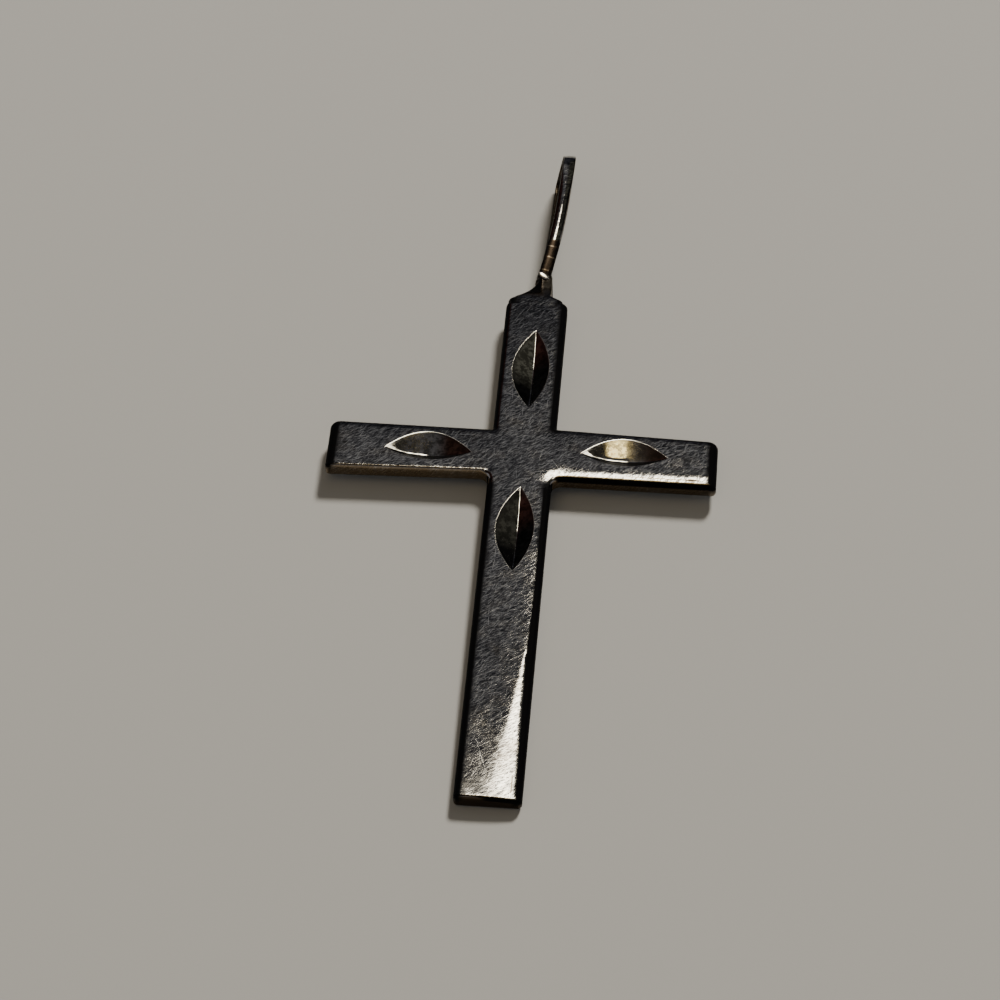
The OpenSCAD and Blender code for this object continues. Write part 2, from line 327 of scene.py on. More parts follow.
class Outline:
    """The cross's outline: 12 corners, their radii, and the worn edge that starts at each."""

    arc_steps = 10
    straight_step = 0.4 * MM

    def __init__(self, p):
        w, s, end = p.upright_w / 2, p.side_arm_w / 2, p.width / 2
        side, top, worn, ends = p.side_edge, p.top_edge, p.worn_edge, p.end_edge
        crisp, foot = p.crisp_edge, p.foot_edge
        table = [
            ((w, -p.lower_arm), p.lower_corner, p.rubbed_edge),
            ((w, -s), p.lower_crotch, worn),
            ((end, -s), p.lower_corner, ends),
            ((end, s), p.upper_corner, top),
            ((w, s + p.right_rise), p.upper_crotch, p.right_edge),
            ((w, p.upper_arm), p.upper_corner, top),
            ((-w, p.upper_arm), p.upper_corner, side),
            ((-w, s), p.upper_crotch, top),
            ((-end, s), p.upper_corner, ends),
            ((-end, -s), p.lower_corner, crisp),
            ((-w, -s + p.left_rise), p.lower_crotch, side),
            ((-w, -p.lower_arm), p.lower_corner, foot),
        ]
        self.corners = [Vector(row[0]) for row in table]
        self.radii = [row[1] for row in table]
        self.edges = [tuple(row[2]) for row in table]
        self.count = len(table)
        self.sides = list(zip(self.corners, self.corners[1:] + self.corners[:1]))
        self.ways = [(b - a).normalized() for a, b in self.sides]
        self.inward = [Vector((-way.y, way.x)) for way in self.ways]
        self.steps = [max(1, round((b - a).length / self.straight_step)) for a, b in self.sides]

    def arc(self, i, inset_of):
        """Points and side shares of the arc at corner i, with its sides moved in."""
        a, b = inset_of(self.edges[i - 1]), inset_of(self.edges[i])
        way_in, way_out = self.ways[i - 1], self.ways[i]
        turn = 1 if cross(way_in, way_out) > 0 else -1
        r = self.radii[i]
        r = max(r - (a + b) / 2, LEAST_RADIUS) if turn > 0 else r + (a + b) / 2
        n1, n2 = self.inward[i - 1], self.inward[i]
        da, db = a + turn * r, b + turn * r
        centre = self.corners[i] + Vector(
            (da * n2.y - db * n1.y, db * n1.x - da * n2.x)
        ) / cross(n1, n2)
        start, stop = -turn * n1, -turn * n2
        sweep = math.acos(max(-1.0, min(1.0, start.dot(stop))))
        points = []
        for k in range(self.arc_steps + 1):
            t = k / self.arc_steps
            out = (start * math.sin((1 - t) * sweep) + stop * math.sin(t * sweep)) / math.sin(sweep)
            points.append((centre + r * out, i - 1, i, t))
        return points

    def ring(self, inset_of):
        """The whole outline moved in: (point, side before, side after, share of the latter)."""
        arcs = [self.arc(i, inset_of) for i in range(self.count)]
        ring = []
        for i in range(self.count):
            ring.extend(arcs[i])
            last, following = arcs[i][-1][0], arcs[(i + 1) % self.count][0][0]
            for k in range(1, self.steps[i]):
                ring.append((last.lerp(following, k / self.steps[i]), i, i, 0.0))
        return ring

    def mixed(self, before, after, t, item):
        """One item of the edge profile between two sides."""
        return self.edges[before][item] * (1 - t) + self.edges[after][item] * t


class Face:
    """Height of the plate's face before it is cut: crowned, worn along its edges, and wavy."""

    # Edges whose painted black is narrower
    thin_shade = (RIGHT_TOP, UPPER_END, UPPER_LEFT, LEFT_TOP)
    # From the first to the second distance, the painted black or the wear grows to its full
    # strength
    beside_neck = (0.9 * MM, 1.4 * MM)
    below_crossing = (1.9 * MM, 2.35 * MM)
    left_of_crossing = (1.5 * MM, 4 * MM)
    # The same for the streak, with heights above the foot taken as negative
    above_foot = (-17 * MM, -14 * MM)
    wave_l = 1.7 * MM
    corner_wear_r = 1.0 * MM
    worn_below_top = 0.25 * MM

    def __init__(self, p, outline):
        self.p, self.outline = p, outline
        self.sides = [
            (a, b, *worn[2:]) for (a, b), worn in zip(outline.sides, outline.edges)
        ]
        self.inner = outline.corners[RIGHT_UNDER]

    def streak(self, y):
        """The lower arm's right side: widths of its dark border and streak, and their slopes."""
        p = self.p
        up = max(y + p.lower_arm, 0.0)
        part = up / p.streak_l
        border = p.border_w * (0.75 + 0.25 * min(part, 1.0))
        border -= 0.08 * MM * smooth_step(part, 0.97, 1.3)
        width = max(p.streak_foot_w * (1 - part), 0.1 * MM)
        width += 0.6 * MM * smooth_step(part, 0.96, 1.25)
        faded = smooth_step(part, 0.93, 0.985)
        slope = p.streak_slope * (1 - 0.57 * faded) * smooth_step(-up, *self.above_foot)
        return border, width, slope, p.border_slope * (1 - 0.9 * faded)

    def rubbing(self, y, d):
        """Fall of the lower arm's right side, which is rubbed wider and flatter near the foot."""
        border, width, slope, border_slope = self.streak(y)
        if d >= border + width:
            return 0.0
        if d > border:
            return slope * (border + width - d) ** 2 / (2 * width)
        return slope * width / 2 + (slope + border_slope) * (border - d)

    def wearing(self, at, slope_w, slope_h):
        """Fall of the right arm's worn edge, which turns round the inner corner on an arc."""
        r = self.p.inner_arc
        centre = self.inner + Vector((r, -r))
        if at.x > centre.x:
            d = at.y - self.inner.y
        elif at.y > centre.y:
            d = (at - centre).length - r
        else:
            d = self.inner.x - at.x
        near = math.exp(-(((at - self.inner).length / self.corner_wear_r) ** 2))
        slope_w *= 1 + 0.5 * near
        slope_h *= 1 - 0.1 * near
        return slope_h * (1 - d / slope_w) ** 2 if d < slope_w else 0.0

    def shaded_edges(self, x, y):
        """Painted shade: black along the edges, save on those that face the front."""
        at = Vector((x, y))
        most = 0.0
        for k, (a, b, *_) in enumerate(self.sides):
            if self.outline.inward[k].y > 0.5:
                continue
            thin = 0.5 if k in self.thin_shade else 1.0
            reach = self.outline.edges[k][0] * thin
            fade = self.p.shade_w * (0.4 + 0.6 * thin)
            if k == LOWER_RIGHT:
                fade = self.p.border_fade
                reach = self.streak(y)[0] - fade
            here = smooth_step(-near_segment(at, a, b), -reach - fade, -reach)
            if k == UPPER_END:
                here *= smooth_step(abs(x), *self.beside_neck)
            if k in (LOWER_RIGHT, LOWER_LEFT):
                here *= smooth_step(-y, *self.below_crossing)
            most = max(most, here)
        return most

    def height(self, x, y):
        at = Vector((x, y))
        fall = 0.0
        closest = 1.0
        top = self.inner.y - self.worn_below_top
        turned = smooth_step(y, top - self.p.inner_fade, top)
        for k, (a, b, slope_w, slope_h) in enumerate(self.sides):
            d = near_segment(at, a, b)
            closest = min(closest, d)
            if k == LOWER_RIGHT:
                fall += self.rubbing(y, d) * (1 - turned)
            elif k == RIGHT_UNDER:
                if x > 0:
                    fall += self.wearing(at, slope_w, slope_h) * turned
            elif d < slope_w:
                kept = smooth_step(-x, *self.left_of_crossing) if k == LEFT_UNDER else 1.0
                fall += slope_h * kept * (1 - d / slope_w) ** 2
        fall += self.p.crown * math.exp(-((closest / self.p.crown_w) ** 2))
        wave = noise.noise(Vector((x, y, 0)) / self.wave_l)
        return self.p.thickness - fall + self.p.waves * (wave - 0.5)


class BrightCut:
    """One marquise cut of the V-edged wheel, long along its own u axis."""

    beyond_tip, beside = 0.3 * MM, 1.5 * MM
    widest = 1.4 * MM
    settling, halvings = 4, 20

    def __init__(self, centre, turned, long, deep, lean, stain_and_shade, sizes, thickness):
        self.centre = Vector(centre)
        self.turned = turned
        self.long, self.deep, self.lean, self.stain_and_shade = long, deep, lean, stain_and_shade
        self.wheel_r = (long * long / 4 + deep * deep) / (2 * deep)
        self.slope = math.tan(sizes.slope)
        self.soft = sizes.valley_round
        self.floor = thickness - deep

    def local(self, x, y):
        d = Vector((x, y)) - self.centre
        return (d.y, -d.x) if self.turned else (d.x, d.y)

    def plan(self, u, v):
        d = Vector((-v, u)) if self.turned else Vector((u, v))
        return self.centre + d

    def reaches(self, u, v):
        """Whether a place is near enough for the wheel to have touched it."""
        return abs(u) < self.long / 2 + self.beyond_tip and abs(v) < self.beside

    def valley(self, u):
        """Place of the deepest line across the cut, which the wheel's lean bends."""
        reach = self.wheel_r - self.soft * self.slope
        return (self.wheel_r - math.sqrt(reach * reach - u * u)) * math.sin(self.lean)

    def height(self, u, v):
        """Height that the leaned wheel leaves."""
        s, c = math.sin(self.lean), math.cos(self.lean)
        across, w = v, 0.0
        for _ in range(self.settling):
            across = (v - w * s) / c
            side = math.hypot(across, self.soft)
            reach = self.wheel_r - side * self.slope
            w = self.wheel_r - math.sqrt(max(reach * reach - u * u, 0.0))
        return self.floor - across * s + w * c

    def tarnish_and_shade(self, u, v):
        """Painted shade, mostly on the steep side: dark brown for a side cut, black for an upright
        cut.
        """
        off = v - self.valley(u)
        stain_and_shade = self.stain_and_shade * smooth_step(off, 0, 0.05 * MM)
        if self.turned:
            return 0.0, stain_and_shade
        return max(smooth_step(-off, 0.0, 0.04 * MM), stain_and_shade * smooth_step(u, 0, 0.5 * MM)), 0.0

    def rim(self, u, way, face):
        """Distance from the valley to the rim on one side, where the wheel leaves the face."""
        low, high = 0.0, self.widest
        for _ in range(self.halvings):
            mid = (low + high) / 2
            v = self.valley(u) + way * mid
            at = self.plan(u, v)
            if self.height(u, v) < face.height(at.x, at.y):
                low = mid
            else:
                high = mid
        return low


def bright_cuts(plate, cuts):
    """The four cuts of the plate, with the share of each one's painted shade on one facet."""
    upright = (True, cuts.upright_l, cuts.upright_d, cuts.upright_lean)
    side = (False, cuts.side_l, cuts.side_d)
    rows = (
        ((cuts.upright_shift, cuts.upper_at), *upright, 0),
        ((cuts.upright_shift, -cuts.lower_at), *upright, 0.45),
        ((-cuts.left_at, -cuts.left_drop), *side, cuts.left_lean, 0),
        ((cuts.right_at, cuts.right_rise), *side, cuts.right_lean, 0.3),
    )
    return [BrightCut(*row, cuts, plate.thickness) for row in rows]


class CutFace:
    """The plate's face with its bright cuts."""

    def __init__(self, face, cuts, blend):
        self.face, self.cuts, self.blend = face, cuts, blend

    def height(self, x, y):
        z = self.face.height(x, y)
        for cut in self.cuts:
            u, v = cut.local(x, y)
            if cut.reaches(u, v):
                z = smooth_min(z, cut.height(u, v), self.blend)
        return z

    def depth(self, x, y):
        """How far under the face the cuts lie, less than 0 outside, and their painted shade: dark
        brown and black.
        """
        low, tarnish_and_shade = -MM, (0.0, 0.0)
        for cut in self.cuts:
            u, v = cut.local(x, y)
            if cut.reaches(u, v):
                low = max(low, self.face.height(x, y) - cut.height(u, v))
                if low > 0:
                    tarnish_and_shade = cut.tarnish_and_shade(u, v)
        return low, *tarnish_and_shade


def cut_rows(cut, face):
    """Plan rows that follow a cut's rims and valley, so that the mesh has its edges there."""
    stations = 56
    by_rim = [-0.04, -0.02, -0.008, 0.0, 0.008, 0.02, 0.04, 0.09]
    by_valley = [0.008, 0.018, 0.032, 0.055]
    rims = {(way, k): [] for way in (-1, 1) for k in range(len(by_rim))}
    inner = {(way, k): [] for way in (-1, 1) for k in range(len(by_valley) + 1)}
    valley = []
    for j in range(1, stations):
        u = cut.long / 2 * math.sin(math.radians(-90 + 180 * j / stations))
        deepest = cut.valley(u)
        valley.append(cut.plan(u, deepest))
        for way in (-1, 1):
            rim = cut.rim(u, way, face)
            for k, off in enumerate(by_rim):
                v = rim + off * MM
                if v > 0.25 * rim and v > 0.012 * MM:
                    rims[way, k].append(cut.plan(u, deepest + way * v))
            for k, off in enumerate(by_valley):
                if off * MM < 0.5 * rim:
                    inner[way, k].append(cut.plan(u, deepest + way * off * MM))
            if rim > 0.4 * MM:
                inner[way, len(by_valley)].append(cut.plan(u, deepest + way * rim / 2))
    end = cut.valley(cut.long / 2)
    tips = [
        [cut.plan(way * (cut.long / 2 + off * MM), end)]
        for way in (-1, 1)
        for off in (0, 0.03, 0.08)
    ]
    return [row for row in (valley, *rims.values(), *inner.values(), *tips) if row]


class PlanMesh:
    """Plan points and edges for one flat cap, triangulated inside its outer ring."""

    scale = 1 / MM
    cell_w = 0.05
    longest = 0.6
    # Shares of the grid's spacing: how clear of other points a new one is, and from row to row
    clearance, row_pitch = 0.55, 0.87

    def __init__(self, ring):
        self.points = [p * self.scale for p in ring]
        n = len(ring)
        self.edges = [(i, (i + 1) % n) for i in range(n)]
        self.ring_count = n
        self.cells = {}
        for i, p in enumerate(self.points):
            self.cells.setdefault(self.cell(p), []).append(i)

    def cell(self, p):
        return (math.floor(p.x / self.cell_w), math.floor(p.y / self.cell_w))

    def nearest(self, p, gap):
        cx, cy = self.cell(p)
        reach = math.ceil(gap / self.cell_w)
        for i in range(cx - reach, cx + reach + 1):
            for j in range(cy - reach, cy + reach + 1):
                for k in self.cells.get((i, j), ()):
                    if (self.points[k] - p).length < gap:
                        return k
        return None

    def add(self, p, gap):
        p = p * self.scale
        near = self.nearest(p, gap)
        if near is not None:
            return near
        self.points.append(p)
        self.cells.setdefault(self.cell(p), []).append(len(self.points) - 1)
        return len(self.points) - 1

    def row(self, points, gap):
        before = None
        for p in points:
            k = self.add(p, gap)
            if before is not None and k != before:
                if (self.points[k] - self.points[before]).length < self.longest:
                    self.edges.append((before, k))
            before = k

    def inside(self, p, ring):
        hit = False
        a = ring[-1]
        for b in ring:
            if (a.y > p.y) != (b.y > p.y) and p.x < (b.x - a.x) * (p.y - a.y) / (b.y - a.y) + a.x:
                hit = not hit
            a = b
        return hit

    def fill(self, spacing):
        """Points on an even grid inside the ring, clear of what is there already."""
        ring = self.points[: self.ring_count]
        xs, ys = [p.x for p in ring], [p.y for p in ring]
        row = 0
        y = min(ys)
        while y < max(ys):
            x = min(xs) + (spacing / 2 if row % 2 else 0)
            while x < max(xs):
                p = Vector((x, y))
                if self.nearest(p, spacing * self.clearance) is None and self.inside(p, ring):
                    self.add(p / self.scale, 0)
                x += spacing
            y += spacing * self.row_pitch
            row += 1

    def triangles(self):
        """Points in metres, and triangles, with the ring's points first and in order."""
        points, _, faces, origins, *_ = delaunay_2d_cdt(self.points, self.edges, [], 1, 1e-6, True)
        at = {}
        for new, old in enumerate(origins):
            for k in old:
                at[k] = new
        order = [at[k] for k in range(self.ring_count)]
        on_ring = set(order)
        ring = self.points[: self.ring_count]
        rest = [k for k in range(len(points)) if k not in on_ring]
        place = {k: i for i, k in enumerate(order + rest)}
        plan = [points[k] / self.scale for k in order + rest]
        kept = []
        for f in faces:
            middle = (points[f[0]] + points[f[1]] + points[f[2]]) / 3
            if not on_ring.issuperset(f) or self.inside(middle, ring):
                kept.append(tuple(place[k] for k in f))
        return plan, kept


def bands(first, second, n):
    """Faces between two rings of n points, given the index of each one's first point."""
    return [
        (first + i, first + (i + 1) % n, second + (i + 1) % n, second + i) for i in range(n)
    ]


def skin(rings):
    """Points and faces of a closed solid through rings of equally many points."""
    n = len(rings[0])
    points = [p for ring in rings for p in ring]
    faces = [tuple(reversed(range(n)))]
    for j in range(len(rings) - 1):
        faces += bands(j * n, (j + 1) * n, n)
    faces.append(tuple(range((len(rings) - 1) * n, len(rings) * n)))
    return points, faces


def pillow(size):
    """Points and faces of a rounded drop of solder, given its half sizes in millimetres."""
    around, up = 20, 8
    rings = []
    for j in range(1, up):
        a = math.pi * j / up
        ring = []
        for k in range(around):
            b = 2 * math.pi * k / around
            way = Vector((math.sin(a) * math.cos(b), math.sin(a) * math.sin(b), -math.cos(a)))
            ring.append(Vector(v * s * MM for v, s in zip(way, size)))
        rings.append(ring)
    return skin(rings)


def new_piece(name, points, faces, finish):
    """A smooth mesh in the frame, which rides on the pendant's body."""
    mesh = bpy.data.meshes.new(name)
    mesh.from_pydata(points, [], faces)
    mesh.validate()
    mesh.shade_smooth()
    mesh.materials.append(finish)
    piece = bpy.data.objects.new(name, mesh)
    bpy.context.scene.collection.objects.link(piece)
    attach(piece, BODY)
    return piece


def paint(piece, name, values):
    """Stores one number for each point of a piece, for its finish."""
    layer = piece.data.attributes.new(name, "FLOAT", "POINT")
    layer.data.foreach_set("value", values)


class Value:
    """A shader socket that can be used in sums."""

    def __init__(self, nodes, socket):
        self.nodes, self.socket = nodes, socket

    def maths(self, operation, *values):
        return self.nodes.add("Math", {"operation": operation}, dict(enumerate(values)))["Value"]

    def __add__(self, other):
        return self.maths("ADD", self, other)

    def __radd__(self, other):
        return self.maths("ADD", other, self)

    def __sub__(self, other):
        return self.maths("SUBTRACT", self, other)

    def __rsub__(self, other):
        return self.maths("SUBTRACT", other, self)

    def __mul__(self, other):
        return self.maths("MULTIPLY", self, other)

    def __rmul__(self, other):
        return self.maths("MULTIPLY", other, self)

    def __abs__(self):
        return self.maths("ABSOLUTE", self)

    def top(self, other):
        return self.maths("MAXIMUM", self, other)

    def cos(self):
        return self.maths("COSINE", self)

    def sin(self):
        return self.maths("SINE", self)

    def ramp(self, low, high, start=0.0, stop=1.0):
        """This value carried from low..high to start..stop, smoothly and no further."""
        inputs = {"Value": self, "From Min": low, "From Max": high, "To Min": start, "To Max": stop}
        return self.nodes.add("MapRange", {"interpolation_type": "SMOOTHSTEP"}, inputs)["Result"]


class Parts:
    """The outputs of one shader node, by name."""

    def __init__(self, nodes, node):
        self.nodes, self.node = nodes, node

    def __getitem__(self, name):
        return Value(self.nodes, self.node.outputs[name])


class Nodes:
    """The node tree of one material or world."""

    def __init__(self, owner):
        owner.use_nodes = True
        self.tree = owner.node_tree
        self.tree.nodes.clear()

    def add(self, kind, settings=None, inputs=None):
        """One node: its settings are set first, then its sockets' values or links."""
        node = self.tree.nodes.new("ShaderNode" + kind)
        for name, value in (settings or {}).items():
            setattr(node, name, value)
        for name, value in (inputs or {}).items():
            socket = node.inputs[name]
            if isinstance(value, Value):
                self.tree.links.new(value.socket, socket)
            else:
                socket.default_value = value
        return Parts(self, node)

    def split(self, vector):
        """The parts of a vector, by X, Y and Z."""
        return self.add("SeparateXYZ", None, {0: vector})

    def painted(self, name):
        """What is painted on the piece's points under this name."""
        return self.add("Attribute", {"attribute_name": name})["Fac"]

    def noise(self, place, scale, detail, rough):
        inputs = {"Vector": place, "Scale": scale, "Detail": detail, "Roughness": rough}
        return self.add("TexNoise", None, inputs)["Fac"]

    def mix(self, share_of_b, a, b):
        """Colour a, turned into colour b by a share."""
        a, b = (c if isinstance(c, Value) else (*c, 1) for c in (a, b))
        node = self.add("Mix", {"data_type": "RGBA"}, {0: share_of_b, 6: a, 7: b})
        return Value(self, node.node.outputs[2])

    def vector(self, operation, a, b):
        return self.add("VectorMath", {"operation": operation}, {0: a, 1: b})["Vector"]


def scratches(nodes, place, shift, cell, long, wide, lean, spread, kept):
    """Straight hairline scratches, at most one in each cell: 1 on a scratch, 0 beside it."""
    at = nodes.vector("ADD", place, (shift, shift * 0.7, 0))
    settings = {"voronoi_dimensions": "2D", "feature": "F1"}
    grid = nodes.add("TexVoronoi", settings, {"Vector": at, "Scale": 1 / cell})
    off = nodes.split(nodes.vector("SUBTRACT", at, grid["Position"]))
    luck = nodes.add("SeparateColor", None, {0: grid["Color"]})
    turn = luck["Red"] * spread + (lean - spread / 2)
    c, s = turn.cos(), turn.sin()
    along = off["X"] * c + off["Y"] * s
    across = off["Y"] * c - off["X"] * s
    line = abs(across).ramp(wide * 0.3, wide, 1, 0)
    ends = abs(along).ramp(long * 0.6, long, 1, 0)
    return line * ends * luck["Green"].ramp(1 - kept, 1, 0, 1)


def streaks(nodes, place):
    """Fine brushing: short streaks in a few directions, from 0 to about 1."""
    split = nodes.split(place)
    total = None
    for lean, long, wide, strength in BRUSHING:
        c, s = math.cos(math.radians(lean)), math.sin(math.radians(lean))
        along = (split["X"] * c + split["Y"] * s) * (1 / long)
        across = (split["Y"] * c - split["X"] * s) * (1 / wide)
        at = nodes.add("CombineXYZ", None, {0: along, 1: across + lean})["Vector"]
        streak = nodes.add(
            "TexNoise", {"noise_dimensions": "2D"}, {"Vector": at, "Scale": 1.0, "Detail": 1.0}
        )["Fac"].ramp(0.48, 0.67, 0, strength)
        total = streak if total is None else total + streak
    return total


SCRATCHES = (
    # shift, cell, half length, half width, lean, spread, share kept, depth
    (0.0, 0.30, 0.26, 0.022, 38, 90, 0.90, 0.6),
    (3.1, 0.36, 0.30, 0.023, 34, 80, 0.90, 0.7),
    (7.7, 0.62, 0.45, 0.022, 42, 110, 0.80, 0.8),
    (11.3, 1.10, 0.70, 0.020, 30, 100, 0.50, 0.9),
    (17.9, 2.30, 1.30, 0.018, 55, 160, 0.35, 1.0),
)

BRUSHING = (
    # lean, length, width and strength of the streaks
    (37, 0.60, 0.065, 0.8),
    (20, 0.50, 0.060, 0.6),
    (56, 0.55, 0.060, 0.6),
    (-28, 0.40, 0.060, 0.35),
    (84, 0.40, 0.060, 0.35),
)


def silver(name, finish):
    """Worn silver: brushed fine, scratched and tarnished, with painted shade: a near-black tone
    between the scratches, and brown and black on walls, edges and facets.
    """
    material = bpy.data.materials.new(name)
    nodes = Nodes(material)
    here = nodes.add("TexCoord")["Object"]
    grown = nodes.vector("MULTIPLY", here, (1 / MM, 1 / MM, 1 / MM))
    split = nodes.split(grown)
    facing = nodes.split(nodes.add("NewGeometry")["Normal"])
    flat = abs(facing["Z"]).ramp(0.45, 0.75)
    upright = nodes.add("CombineXYZ", None, {0: split["X"] + split["Y"] * 0.9, 1: split["Z"]})
    level = nodes.add("CombineXYZ", None, {0: split["X"], 1: split["Y"]})
    place = nodes.mix(flat, upright["Vector"], level["Vector"])
    cut, worn, soot = nodes.painted("cut"), nodes.painted("worn"), nodes.painted("soot")
    wall = 1 - flat
    # Painted shade: walls are darkened, fully where they don't face the front, partly on the right
    # and at the foot.
    soot = soot.top(wall * facing["Y"].ramp(-0.6, -0.35))
    soot = soot.top(wall * split["X"].ramp(0.5, 2.5, 0, 0.72))
    soot = soot.top(wall * split["Y"].ramp(-21, -20, 0.82, 0))

    marks = None
    for shift, cell, long, wide, lean, spread, kept, deep in SCRATCHES:
        lean, spread = math.radians(lean), math.radians(spread)
        mark = scratches(nodes, place, shift + finish.seed, cell, long, wide, lean, spread, kept)
        mark = mark * deep
        marks = mark if marks is None else marks.top(mark)
    brushed = streaks(nodes, place)
    rubbed = nodes.noise(grown, 0.45, 3.0, 0.6).ramp(0.3, 0.65, 0.45, 1.0)
    uncut = 1 - cut * 0.85
    marks = marks * rubbed * uncut
    brushed = brushed * rubbed.ramp(0, 1, 0.5, 1.0) * uncut

    grain = nodes.noise(grown, 14.0, 3.0, 0.7)
    rough = brushed * finish.brushing + marks * finish.scratch_rough
    rough = rough + grain.ramp(0.45, 0.8, 0, 0.02) * uncut + (finish.haze - cut * 0.025)
    dull = nodes.noise(grown, 0.8, 5.0, 0.65)
    # Random tarnish on the face is the silver's own; the brown on the walls and from the darkening
    # mask is painted shade.
    dark = dull.ramp(0.42, 0.78) * finish.tarnish_share * (1 - worn) * uncut
    dark = dark.top(wall * dull.ramp(0.25, 0.6, 0.6, 1.0)).top(soot)
    # Random film stains in the cuts: the silver's own colour.
    stain_and_shade = nodes.noise(grown, 2.6, 5.0, 0.75).ramp(0.4, 0.58)
    stain_and_shade = stain_and_shade * cut * (1 - worn)
    clean = (brushed * 0.5 + marks * 1.4).top(cut).top(worn)
    # Painted shade: between the scratches the face takes the near-black tone; scratches, rims and
    # cuts keep the silver's own colour.
    metal = nodes.mix(clean, finish.dull_shade, finish.metal)
    metal = nodes.mix(stain_and_shade * 0.75, metal, finish.film)
    metal = nodes.mix(dark, metal, finish.tarnish_and_shade)
    # Painted shade: dark brown where the darkening mask is strong.
    metal = nodes.mix(soot.ramp(0.55, 0.9), metal, finish.shade_tone)
    rough = rough + dark * (cut * 0.17 + 0.2) + worn * 0.13 + stain_and_shade * 0.03
    rough = rough + split["Y"].ramp(-22, -16, 0.07, 0)
    height = grain * 0.06 - marks * 0.10 - brushed * 0.13
    inputs = {"Strength": 1.0, "Distance": finish.scratch_depth, "Height": height}
    bump = nodes.add("Bump", None, inputs)["Normal"]
    inputs = {"Base Color": metal, "Metallic": 1.0, "Roughness": rough, "Normal": bump}
    shader = nodes.add("BsdfPrincipled", None, inputs)["BSDF"]
    # Painted shade: a matte near-black shader replaces the metal where the painted shade is full,
    # so no reflection shows there.
    inputs = {"Base Color": (*finish.black, 1), "Roughness": 0.6, "Specular IOR Level": 0.03}
    black = nodes.add("BsdfPrincipled", None, inputs)["BSDF"]
    shade_black_share = soot.ramp(0.85, 1.0).top(nodes.painted("black"))
    shader = nodes.add("MixShader", None, {0: shade_black_share, 1: shader, 2: black})["Shader"]
    nodes.add("OutputMaterial", None, {"Surface": shader})
    return material


